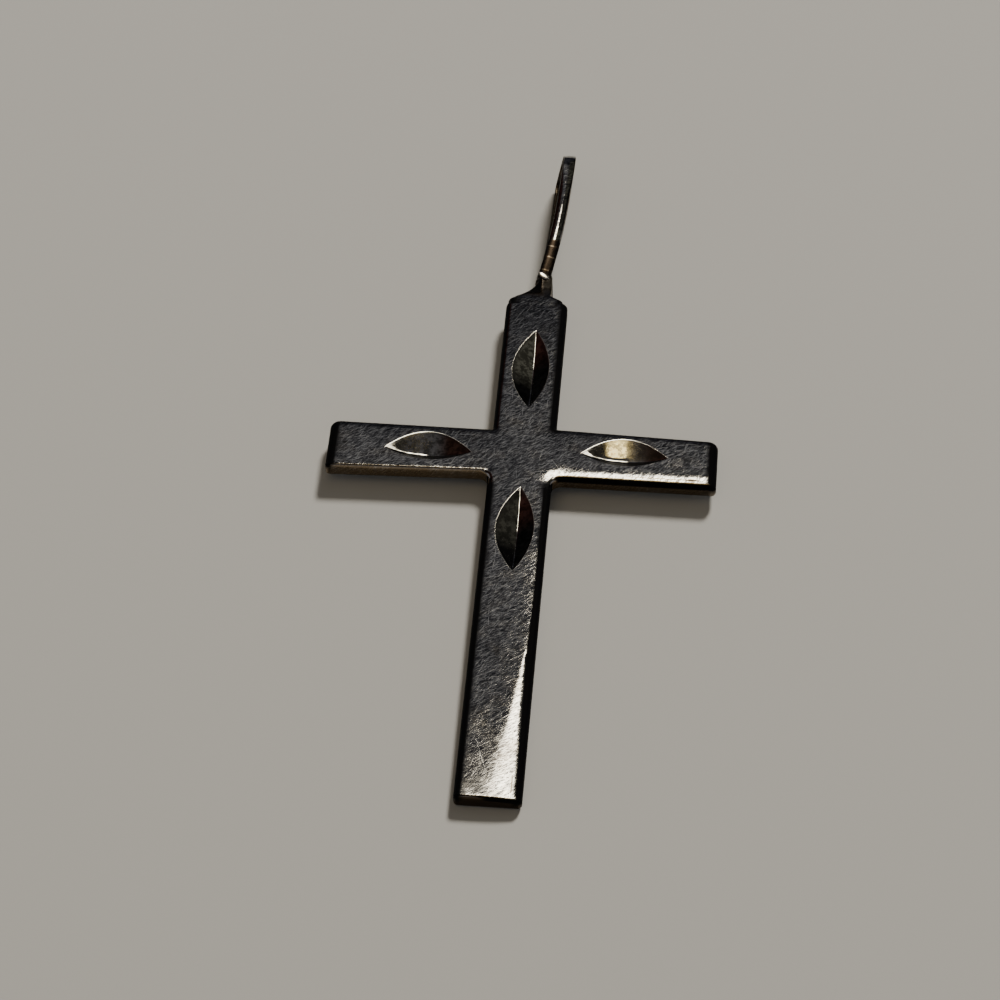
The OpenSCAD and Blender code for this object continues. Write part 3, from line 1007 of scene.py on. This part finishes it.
class PENDANT_OT_plate(bpy.types.Operator):
    """Build the cross plate with its four bright cuts"""

    bl_idname = "pendant.plate"
    bl_label = "Cross plate"
    back_steps, front_steps = 5, 9
    # Places of the two grooves, in millimetres
    foot_groove_x, foot_groove_top = 1.08, -20.4
    arm_groove_y, arm_groove_start = -1.27, 4.2
    cut_deep = 0.03 * MM
    rim_w = 0.0105 * MM

    def groove(self, x, y):
        """How dark two fine lines are painted, at the foot and along the right arm's worn edge."""
        x_mm = x / MM
        if y < -20 * MM:
            ends = smooth_step(-y, 20.5 * MM, 20.9 * MM) * smooth_step(y, -21.75 * MM, -21.6 * MM)
            return 0.7 * ends * smooth_step(-abs(x_mm - self.foot_groove_x), -0.045, -0.02)
        off = abs(y / MM - self.arm_groove_y)
        wide = 0.035 + 0.06 * math.exp(-(((x_mm - 8.75) / 0.3) ** 2))
        ends = smooth_step(x_mm, self.arm_groove_start, 6.5) * smooth_step(-x_mm, -9.25, -9.05)
        return 0.9 * ends * smooth_step(-off, -wide, -wide * 0.4)

    def walls(self, sizes, outline, cut_face):
        """Points of the rings from the back to the face, each ring's start, and the last ring."""
        points, starts = [], []
        for k in range(self.back_steps + 1):
            a = math.radians(90 * k / self.back_steps)
            r = sizes.back_round
            ring = outline.ring(lambda profile: r * (1 - math.sin(a)))
            starts.append(len(points))
            points += [(p.x, p.y, r * (1 - math.cos(a))) for p, *_ in ring]
        for k in range(self.front_steps + 1):
            a = math.radians(90 * k / self.front_steps)
            ring = outline.ring(lambda profile: profile[0] * (1 - math.cos(a)))
            starts.append(len(points))
            for p, before, after, t in ring:
                fall = outline.mixed(before, after, t, 1) * (1 - math.sin(a))
                points.append((p.x, p.y, cut_face.height(p.x, p.y) - fall))
        return points, starts, ring

    def face_plan(self, sizes, outline, face, cuts, ring):
        """The face's plan, with rows along the cuts, the grooves, the streak and the edges."""
        plan = PlanMesh([p for p, *_ in ring])
        for cut in cuts:
            for row in cut_rows(cut, face):
                plan.row(row, 0.006)
        for off in (-0.05, -0.025, 0, 0.025, 0.05, 0.1):
            xs = [self.arm_groove_start + 0.1 * k for k in range(52)]
            plan.row([Vector((x, off + self.arm_groove_y)) * MM for x in xs], 0.01)
        down = [-21.75 * MM + 0.22 * MM * k for k in range(58)]
        for part, inside in ((0.0, sizes.border_fade), (0.0, 0.0), (0.5, 0.0), (1.0, 0.0)):
            row = []
            for y in down:
                border, width, *_ = face.streak(y)
                row.append(Vector((sizes.upright_w / 2 - border - part * width + inside, y)))
            plan.row(row, 0.04)
        for off in (-0.045, -0.02, 0, 0.02, 0.045):
            ys = [self.foot_groove_top - 0.1 * k for k in range(14)]
            plan.row([Vector((self.foot_groove_x + off, y)) * MM for y in ys], 0.01)
        plan.row([p for p, *_ in outline.ring(lambda profile: profile[0] + 0.11 * MM)], 0.05)
        plan.fill(0.2)
        return plan.triangles()

    def lower_edge_shade(self, outline, ring, k):
        """For the painted shade on the edges that face the front, for each point of the k-th ring:
        how far it looks down, its softness, and its wear.
        """
        soft = smooth_step(-k, -9.5, -5.5)
        worn = smooth_step(-k, -6.5, -3.5)
        for _, before, after, t in ring:
            lower = smooth_step(outline.inward[before].lerp(outline.inward[after], t).y, 0.3, 0.8)
            yield lower, soft, lower * worn

    def execute(self, context):
        scene = context.scene
        sizes, cuts = scene.plate_sizes, scene.cut_sizes
        outline = Outline(sizes)
        face = Face(sizes, outline)
        cut_face = CutFace(face, bright_cuts(sizes, cuts), cuts.rim_round)

        points, starts, ring = self.walls(sizes, outline, cut_face)
        n = len(ring)
        faces = []
        for first, second in zip(starts, starts[1:]):
            faces += bands(first, second, n)
        plan, triangles = self.face_plan(sizes, outline, face, cut_face.cuts, ring)
        offset = len(points) - n
        face_end = offset + len(plan)
        points += [(p.x, p.y, cut_face.height(p.x, p.y)) for p in plan[n:]]
        faces += [tuple(offset + k for k in f) for f in triangles]

        back = PlanMesh([Vector(p[:2]) for p in points[:n]])
        back.fill(0.5)
        plan, triangles = back.triangles()
        place = list(range(n)) + list(range(len(points), len(points) + len(plan) - n))
        points += [(p.x, p.y, 0.0) for p in plan[n:]]
        faces += [tuple(place[k] for k in reversed(f)) for f in triangles]

        pose = Pose(sizes, scene.bail_sizes)
        finish = silver("silver_plate", scene.silver_finish)
        piece = new_piece("cross_plate", pose.points(points), faces, finish)
        on_face = [z > sizes.thickness * 0.3 for _, _, z in points]
        cut = [cut_face.depth(p[0], p[1]) if up else (-MM, 0, 0) for p, up in zip(points, on_face)]
        # Painted shade: the rounded lower edges that face the front are darkened brown, less on the
        # left side's worn edges; two fine lines are darkened too.
        dirt_and_shade = [self.groove(p[0], p[1]) if up else 0.0 for p, up in zip(points, on_face)]
        # Painted shade: black along the edges and on one facet of the lower upright cut.
        black = [0.0] * len(points)
        for i in range(starts[self.back_steps + 1], face_end):
            black[i] = max(face.shaded_edges(points[i][0], points[i][1]), cut[i][2])
        for k, first in enumerate(starts[self.back_steps + 1 :]):
            for i, (lower, soft, lit) in enumerate(self.lower_edge_shade(outline, ring, k), first):
                lit = lit * smooth_step(-points[i][0], 0, MM)
                dirt_and_shade[i] = max(dirt_and_shade[i], (1 - 0.6 * lit) * soft * lower)
        paint(piece, "cut", [max(0.0, min(1.0, deep / self.cut_deep)) for deep, *_ in cut])
        paint(piece, "worn", [math.exp(-((deep / self.rim_w) ** 2)) for deep, *_ in cut])
        paint(piece, "soot", [max(a, b[1]) for a, b in zip(dirt_and_shade, cut)])
        paint(piece, "black", black)
        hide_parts(NODE)
        return {"FINISHED"}


class PENDANT_OT_neck(bpy.types.Operator):
    """Build the flared neck and its solder"""

    bl_idname = "pendant.neck"
    bl_label = "Neck"
    rim = 0.02 * MM
    steps, across = 26, 24
    # Rings inside the upper arm, in millimetres: place along the neck, and how far sunk
    root = ((-0.9, 0.05), (-0.8, 0.0), (-0.74, 0.0), (-0.6, 0.0), (-0.3, 0.0))
    side_round = 0.09
    # Of the neck's width: where the ridge ends, and how far it runs there from the foot
    ridge_end, ridge_run = 0.12, 0.72
    # In millimetres: how far under the plate's face the neck starts and then falls
    below_face, shoulder_fall = 0.007, 0.053
    fillet_share = 0.2

    def execute(self, context):
        scene = context.scene
        plate, bail = scene.plate_sizes, scene.bail_sizes
        pose = Pose(plate, bail)
        mid = plate.thickness / 2
        rings, soot, worn, edge = [], [], [], []
        for k in range(-len(self.root), self.steps + 1):
            s = max(k, 0) / self.steps
            y, sunk = (self.root[k][0] * MM, self.root[k][1]) if k < 0 else (s * bail.neck_l, 0.0)
            bare_w = bail.strip_w + 2 * self.rim
            bare_w += (bail.neck_base_w - bail.strip_w) * (1 - s) ** 2
            right = bail.neck_right - bail.neck_lean * s + self.rim
            left = right - bare_w
            right += bail.neck_fillet * max(0.0, 1 - s / self.fillet_share) ** 1.5
            w = right - left
            ridge = self.ridge_end + self.ridge_run * (1 - s)
            shoulder = smooth_step(s, 0.0, 0.5)
            half = mid - (self.below_face + sunk + self.shoulder_fall * shoulder) * MM
            low = half - bail.neck_ridge_h * shoulder

            def profile(t):
                rising = t / ridge if t < ridge else (1 - t) / (1 - ridge)
                h = low + (half - low) * smooth_min(rising, 0.96, 0.06)
                d = min(t, 1 - t) / self.side_round
                return h * math.sqrt(max(0.0, 1 - (1 - min(d, 1.0)) ** 2))

            front, black, ridged = [], [], []
            for j in range(self.across + 1):
                t = (1 - math.cos(math.pi * j / self.across)) / 2
                front.append((left + w * t, plate.upper_arm + y, mid + profile(t)))
                # Painted shade: the neck is darkened, less on the right of its ridge, fading in
                # from the plate.
                shade_tone = 0.95 - 0.42 * smooth_step(t, ridge - 0.02, ridge + 0.04)
                black.append(shade_tone * smooth_step(s, 0.0, 0.3))
                ridged.append(0.5 * shoulder * math.exp(-(((t - ridge) / 0.05) ** 2)))
            rear = [(p[0], p[1], 2 * mid - p[2]) for p in reversed(front[1:-1])]
            rings.append(front + rear)
            soot += black + black[-2:0:-1]
            # Painted shade: the neck's edges near the plate are black, which hides their glints.
            edge += [smooth_step(abs(p[0]), 0.85 * MM, 1.2 * MM) for p in rings[-1]]
            worn += ridged + [0.0] * len(rear)
        points, faces = skin(rings)
        finish = silver("silver_neck", scene.silver_finish)
        piece = new_piece("neck", pose.points(points), faces, finish)
        paint(piece, "black", edge)
        paint(piece, "soot", soot)
        paint(piece, "worn", worn)
        return {"FINISHED"}


class PENDANT_OT_bail(bpy.types.Operator):
    """Build the bail, a domed strip bent into a narrow loop"""

    bl_idname = "pendant.bail"
    bl_label = "Bail"
    # Places of the three ridges along the strip, in millimetres
    ridges = (1.9, 1.22, 0.42)
    ridge_w, ridge_h = 0.035 * MM, 0.004 * MM
    leg_shift, leg_gap, leg_droop = 0.19 * MM, 0.03 * MM, 0.06 * MM
    # The leg's first handle in millimetres, and the place of its second along the leg
    leg_lead, leg_trail = (1.3, 0.52), 0.43
    leg_steps, bend_steps = 150, 36
    # How much flatter the dome is at the far end and over the strip's start, which is painted dark
    # brown as shade
    far_flat, heat_flat = 0.85, 0.4
    shade_fade = 0.12 * MM
    solder = (
        # name, place, half sizes, lean and turn
        ("solder_seam", (0.0, 0.04, 0.48), (0.34, 0.17, 0.06), 9, -24),
        ("solder_bead", (0.36, -0.42, 0.22), (0.06, 0.06, 0.06), 0, 0),
    )

    def section(self, sizes, dome):
        """The strip's section: (across, outward), going round once."""
        w, t, r = sizes.strip_w / 2, sizes.strip_t / 2, sizes.strip_edge
        shoulder = t - dome
        points = []

        def rounding(x, h, first, last, steps):
            """An edge between two directions in degrees."""
            for k in steps:
                a = math.radians(first + (last - first) * k / 5)
                points.append((x + r * math.cos(a), h + r * math.sin(a)))

        for k in range(13):
            x = (w - r) * -math.cos(math.pi * k / 12)
            points.append((x, t - dome * (x / w) ** 2))
        rounding(w - r, shoulder - r * 0.8, 80, 0, range(1, 6))
        rounding(w - r, -t + r, 0, -90, range(6))
        points += [((w - r) * (1 - k / 2), -t) for k in range(1, 4)]
        rounding(-w + r, -t + r, -90, -180, range(6))
        rounding(-w + r, shoulder - r * 0.8, 180, 100, range(5))
        return points

    def line(self, sizes):
        """Middle line of the strip: (along, outward) from the front leg's start to the back's."""
        r = sizes.bail_d / 2 - sizes.strip_t / 2
        bend_at = sizes.bail_l - sizes.bail_d / 2
        p0 = Vector((0, sizes.strip_t / 2 + self.leg_gap))
        p1 = p0 + Vector(self.leg_lead) * MM
        p2 = Vector((bend_at * self.leg_trail, r - self.leg_droop))
        p3 = Vector((bend_at, r))
        leg = []
        for k in range(self.leg_steps + 1):
            t = k / self.leg_steps
            u = 1 - t
            leg.append(u**3 * p0 + 3 * u * u * t * p1 + 3 * u * t * t * p2 + t**3 * p3)
        bend = [
            Vector((bend_at + r * math.sin(a), r * math.cos(a)))
            for a in (math.pi * k / self.bend_steps for k in range(1, self.bend_steps))
        ]
        return leg + bend + [Vector((p.x, -p.y)) for p in reversed(leg)]

    def execute(self, context):
        scene = context.scene
        plate, sizes = scene.plate_sizes, scene.bail_sizes
        pose = Pose(plate, sizes)
        line = self.line(sizes)
        bend_at = sizes.bail_l - sizes.bail_d / 2
        rings, soot, worn = [], [], []
        for k, p in enumerate(line):
            way = line[min(k + 1, len(line) - 1)] - line[max(k - 1, 0)]
            way.normalize()
            out = Vector((-way.y, way.x))
            far = smooth_step(p.x, bend_at * 0.7, bend_at + 1.0 * MM)
            on_front = p.y > 0
            ridge = 0.0
            if on_front:
                offs = [(p.x - at * MM) / self.ridge_w for at in self.ridges]
                ridge = max(math.exp(-(off**2)) for off in offs)
            # Painted shade: the front of the strip's start is darkened to dark brown, where it
            # would mirror the light.
            low = on_front * smooth_step(-p.x, -sizes.shaded_start_l - self.shade_fade, -sizes.shaded_start_l)
            flatter = 1 - self.far_flat * far - self.heat_flat * low
            section = self.section(sizes, sizes.dome_h * flatter)
            along = max(0.0, min(1.0, p.x / (sizes.bail_l - 0.65 * MM)))
            bow = sizes.bow * math.sin(math.pi * along**0.8)
            ring = []
            for x, h in section:
                lift = self.ridge_h * ridge if h > 0 else 0.0
                end = far * (sizes.reach + sizes.skew * (x / sizes.strip_w + 0.5))
                ring.append((x + bow, p.x + (h + lift) * out.x + end, p.y + (h + lift) * out.y))
                # Painted shade: the back leg, the sides and the inside of the strip are darkened
                # too.
                hidden = 0.0 if h > 0 and on_front else 0.8
                soot.append(max(0.92 * low * (1 - 0.2 * ridge), hidden))
                worn.append(0.08 * ridge)
            rings.append(ring)
        tip = sizes.neck_right - sizes.neck_lean - sizes.strip_w / 2 - self.leg_shift
        place = Matrix.Translation((tip, pose.bail_start, plate.thickness / 2))
        place = place @ Matrix.Rotation(-sizes.yaw, 4, "Z") @ Matrix.Rotation(sizes.roll, 4, "Y")
        points, faces = skin(rings)
        points = pose.points([place @ Vector(p) for p in points])
        faces = [tuple(reversed(f)) for f in faces]
        piece = new_piece("bail", points, faces, silver("silver_bail", scene.silver_finish))
        paint(piece, "soot", soot)
        paint(piece, "worn", worn)

        for name, at, size, lean, turn in self.solder:
            points, faces = pillow(size)
            here = place @ Matrix.Translation(Vector(at) * MM)
            here = here @ Matrix.Rotation(math.radians(lean), 4, "X")
            here = here @ Matrix.Rotation(math.radians(turn), 4, "Z")
            points = pose.points([here @ p for p in points])
            piece = new_piece(name, points, faces, silver("silver_" + name, scene.silver_finish))
            paint(piece, "worn", [1.0] * len(points))
        return {"FINISHED"}


class PENDANT_OT_studio(bpy.types.Operator):
    """Build the floor, the lights and the camera"""

    bl_idname = "pendant.studio"
    bl_label = "Studio"
    distance = 1.2
    floor_half = 1.5
    # Name, direction, size, power, colour, and the direction toward which the light is long
    mirrored_lights = (
        ("key", (0.083, 0.39, 0.917), (0.30, 0.52), "key_light", "key_colour", (0.98, -0.21, 0)),
        ("top", (0.10, 0.012, 1), (0.42, 0.13), "top_light", "top_colour", (1, 0, 0)),
        ("side", (0.35, 0.21, 0.92), (0.56, 0.13), "side_light", "key_colour", (1, -0.45, 0)),
    )
    floor_lights = (
        ("lamp", (0.24, 0.70, 0.67), (0.2, 0.2), "lamp_light", "lamp_colour", (1, 0, 0)),
        ("fill", (-0.3, -0.3, 0.9), (1.0, 1.0), "fill_light", "fill_colour", (1, 0, 0)),
    )

    def light(self, setup, name, way, size, power, rgb, along):
        """An oval light in a direction given as (x, y, z), long toward another direction."""
        data = bpy.data.lights.new(name, "AREA")
        data.shape = "ELLIPSE"
        data.size, data.size_y = size[0] * self.distance, size[1] * self.distance
        data.energy = getattr(setup, power)
        data.color = getattr(setup, rgb)
        lamp = bpy.data.objects.new(name, data)
        z = Vector(way).normalized()
        x = Vector(along)
        x = (x - x.dot(z) * z).normalized()
        turn = Matrix((x, z.cross(x), z)).transposed().to_4x4()
        lamp.matrix_world = Matrix.Translation(z * self.distance) @ turn
        lamp.visible_camera = False
        bpy.context.scene.collection.objects.link(lamp)
        return lamp

    def camera(self, scene, setup):
        """The camera, at the place and angle from which the pendant is looked at."""
        data = bpy.data.cameras.new("camera")
        data.sensor_width = 36
        data.lens = setup.lens
        data.clip_start, data.clip_end = 0.005, 20
        camera = bpy.data.objects.new("camera", data)
        turn = Matrix.Rotation(setup.camera_turn, 4, "Z")
        turn = turn @ Matrix.Rotation(math.radians(90) - setup.camera_down, 4, "X")
        turn = turn @ Matrix.Rotation(setup.camera_roll, 4, "Z")
        camera.matrix_world = Matrix.Translation(setup.camera_at) @ turn
        scene.collection.objects.link(camera)
        scene.camera = camera

    def floor(self, scene, setup):
        """A plain pale floor."""
        mesh = bpy.data.meshes.new("floor")
        r = self.floor_half
        mesh.from_pydata([(-r, -r, 0), (r, -r, 0), (r, r, 0), (-r, r, 0)], [], [(0, 1, 2, 3)])
        floor = bpy.data.objects.new("floor", mesh)
        paper = bpy.data.materials.new("pale_floor")
        nodes = Nodes(paper)
        inputs = {"Base Color": (*setup.floor, 1), "Roughness": 0.9}
        shader = nodes.add("BsdfPrincipled", None, inputs)["BSDF"]
        nodes.add("OutputMaterial", None, {"Surface": shader})
        mesh.materials.append(paper)
        scene.collection.objects.link(floor)

    def room(self, scene, setup):
        """The room that the silver mirrors, a colour for each direction."""
        world = bpy.data.worlds.new("room")
        scene.world = world
        nodes = Nodes(world)
        look = nodes.split(nodes.add("TexCoord")["Generated"])
        high = look["Z"].ramp(0.36, 0.6)
        right = nodes.mix(high, setup.low_room, setup.right_room)
        left = nodes.mix(high, setup.low_room, setup.left_room)
        lit = look["Z"].ramp(0.705, 0.76) - look["Z"].ramp(0.765, 0.8, 0, 0.3)
        rgb = nodes.mix(lit, setup.far_room, setup.room)
        rgb = nodes.mix(look["X"].ramp(0.13, 0.35, 0, 1), rgb, right)
        rgb = nodes.mix(look["X"].ramp(-0.36, -0.13, 1, 0), rgb, left)
        rgb = nodes.mix(look["Y"].ramp(-0.15, 0.42, 1, 0), rgb, setup.near_room)
        behind = look["Y"].ramp(-0.75, -0.45, 1, 0).top(abs(look["X"]).ramp(0.77, 0.86))
        rgb = nodes.mix(behind, rgb, setup.back_room)
        back = nodes.add("Background", None, {"Color": rgb, "Strength": 1.0})["Background"]
        nodes.add("OutputWorld", None, {"Surface": back})

    def execute(self, context):
        scene = context.scene
        setup = scene.studio_setup
        self.camera(scene, setup)
        self.floor(scene, setup)
        for row in self.mirrored_lights:
            self.light(setup, *row).visible_diffuse = False
        for row in self.floor_lights:
            self.light(setup, *row).visible_glossy = False
        self.room(scene, setup)
        return {"FINISHED"}


class PENDANT_PT_panel(bpy.types.Panel):
    """The pendant's pieces and their sizes"""

    bl_label = "Silver cross pendant"
    bl_idname = "PENDANT_PT_panel"
    bl_space_type = "VIEW_3D"
    bl_region_type = "UI"
    bl_category = "Pendant"

    def draw(self, context):
        for operator, groups in STEPS:
            box = self.layout.box()
            box.operator(operator)
            for group in groups:
                settings = getattr(context.scene, group)
                for name in settings.__annotations__:
                    box.prop(settings, name)


STEPS = (
    # operator, and the groups of settings shown under it
    ("pendant.studio", ("studio_setup",)),
    ("pendant.plate", ("plate_sizes", "cut_sizes", "silver_finish")),
    ("pendant.neck", ("bail_sizes",)),
    ("pendant.bail", ()),
)
GROUPS = {
    "plate_sizes": PlateSizes,
    "cut_sizes": CutSizes,
    "bail_sizes": BailSizes,
    "silver_finish": SilverFinish,
    "studio_setup": StudioSetup,
}
CLASSES = (
    *GROUPS.values(),
    PENDANT_OT_plate,
    PENDANT_OT_neck,
    PENDANT_OT_bail,
    PENDANT_OT_studio,
    PENDANT_PT_panel,
)


def register():
    for cls in CLASSES:
        bpy.utils.register_class(cls)
    for name, group in GROUPS.items():
        setattr(bpy.types.Scene, name, PointerProperty(type=group))


def unregister():
    for name in GROUPS:
        delattr(bpy.types.Scene, name)
    for cls in reversed(CLASSES):
        bpy.utils.unregister_class(cls)


def main():
    register()
    bpy.ops.pendant.studio()
    bpy.ops.pendant.plate()
    bpy.ops.pendant.neck()
    bpy.ops.pendant.bail()


if __name__ == "__main__":
    main()
